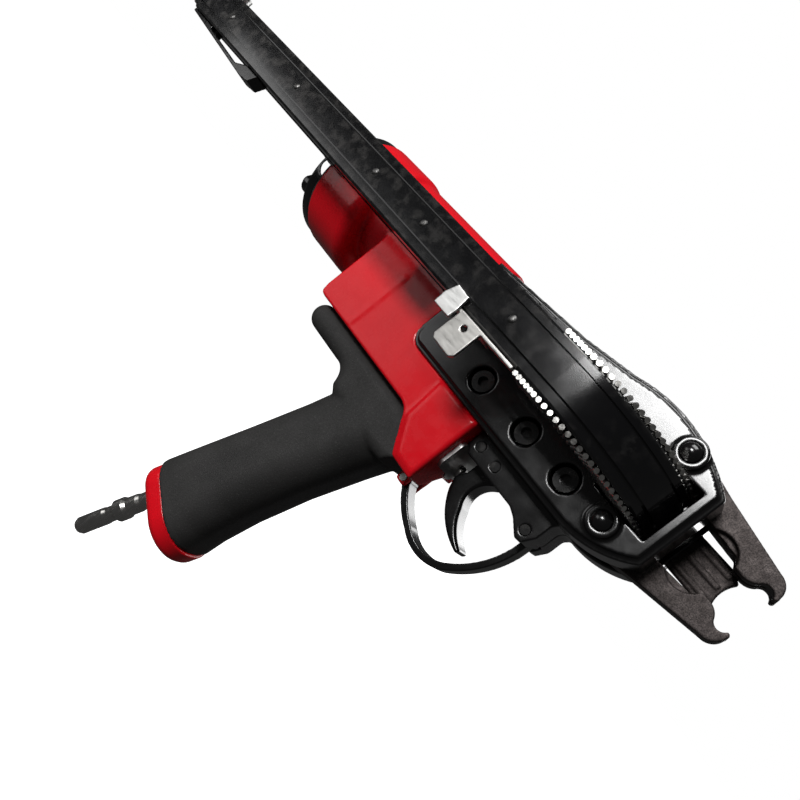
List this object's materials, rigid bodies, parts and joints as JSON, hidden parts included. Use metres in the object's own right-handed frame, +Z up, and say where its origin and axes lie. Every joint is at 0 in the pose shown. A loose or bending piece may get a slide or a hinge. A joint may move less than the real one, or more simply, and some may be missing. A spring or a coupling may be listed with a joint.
{
  "type": "pneumatic C-ring gun",
  "caption": "Pistol-grip pneumatic C-ring gun: red cast body, black frame and side magazine, hinged closing jaws, hooked trigger in a guard, rubber grip, air plug under the handle",
  "frame": {"origin": "Middle of the rubber grip, where a hand or a holder takes the tool", "axes": "+X towards the jaws along the cylinder, +Y to the tool's left, away from the magazine, +Z up"},
  "size_m": [0.29, 0.0689, 0.1809],
  "materials": {
    "red_paint": "gloss",
    "black_paint": "satin",
    "black_phosphate": "fine-grained matte phosphate",
    "grip_rubber": "fine-grained matte",
    "bright_steel": "bright zinc",
    "dark_steel": "blackened",
    "aluminium_parts": "machined",
    "seal_rubber": "matte",
    "brass_parts": "machined"
  },
  "bodies": {
    "gun_body": {"air_plug": "bright_steel", "body_casting": "red_paint", "cap_gasket": "seal_rubber", "cap_screw_1": "dark_steel", "cap_screw_2": "dark_steel", "cap_screw_3": "dark_steel", "cap_screw_4": "dark_steel", "cylinder_sleeve": "aluminium_parts", "end_cap_screw_1": "dark_steel", "end_cap_screw_2": "dark_steel", "end_screw": "aluminium_parts", "exhaust_disc": "dark_steel", "exhaust_filter": "aluminium_parts", "feed_spring_drum": "bright_steel", "frame_left": "black_paint", "frame_right": "black_paint", "frame_screw_1": "dark_steel", "frame_screw_2": "dark_steel", "frame_screw_3": "dark_steel", "guard_hinge_pin": "bright_steel", "guard_pin": "dark_steel", "handle_end_cap": "red_paint", "housing_pin": "dark_steel", "lower_jaw_pin": "dark_steel", "magazine_rail": "black_paint", "magazine_standoff": "black_paint", "rail_end_plug": "black_paint", "rail_rivets": "bright_steel", "rear_bracket": "black_paint", "rear_cap": "black_paint", "rear_magazine_arm": "black_paint", "ring_guide": "black_phosphate", "ring_strip": "bright_steel", "rod_bushing": "brass_parts", "rubber_grip": "grip_rubber", "spring_drum_pin": "dark_steel", "strap_screw": "dark_steel", "trigger_guard": "black_paint", "trigger_pin": "dark_steel", "upper_jaw_pin": "dark_steel", "valve_body": "aluminium_parts"},
    "driver": {"piston": "aluminium_parts", "piston_seal": "seal_rubber", "piston_rod": "bright_steel", "wedge_cam": "dark_steel", "feed_blade": "bright_steel"},
    "upper_jaw_body": {"upper_jaw": "black_phosphate", "upper_roller": "bright_steel", "upper_roller_pin": "dark_steel"},
    "lower_jaw_body": {"lower_jaw": "black_phosphate", "lower_roller": "bright_steel", "lower_roller_pin": "dark_steel"},
    "trigger_body": {"trigger": "black_paint"},
    "valve_stem_body": {"valve_stem": "bright_steel"},
    "pusher_body": {"pusher": "bright_steel", "pusher_clip": "aluminium_parts"}
  },
  "joints": [
    {"name": "driver_stroke", "type": "slide", "parent": "gun_body", "child": "driver", "axis": [1, 0, 0], "range_m": [0, 0.022]},
    {"name": "upper_jaw_close", "type": "hinge", "parent": "gun_body", "child": "upper_jaw_body", "pos_m": [0.084, 0, 0.0958], "axis": [0, 1, 0], "range_deg": [0, 10.25]},
    {"name": "lower_jaw_close", "type": "hinge", "parent": "gun_body", "child": "lower_jaw_body", "pos_m": [0.084, 0, 0.0682], "axis": [0, -1, 0], "range_deg": [0, 10.25]},
    {"name": "trigger_pull", "type": "hinge", "parent": "gun_body", "child": "trigger_body", "pos_m": [0.0523, 0, 0.0555], "axis": [0, 1, 0], "range_deg": [0, 8], "stiffness_Nm_per_rad": 0.8, "springref_deg": -4.58},
    {"name": "valve_stem_push", "type": "slide", "parent": "gun_body", "child": "valve_stem_body", "axis": [-1, 0, 0], "range_m": [0, 0.0016]},
    {"name": "pusher_travel", "type": "slide", "parent": "gun_body", "child": "pusher_body", "axis": [-1, 0, 0], "range_m": [0, 0.12]}
  ],
  "couplings": [
    {"joint": "upper_jaw_close", "follows": "driver_stroke", "rad_per_m": 8.09},
    {"joint": "lower_jaw_close", "follows": "driver_stroke", "rad_per_m": 8.09},
    {"joint": "valve_stem_push", "follows": "trigger_pull", "m_per_rad": 0.01}
  ]
}
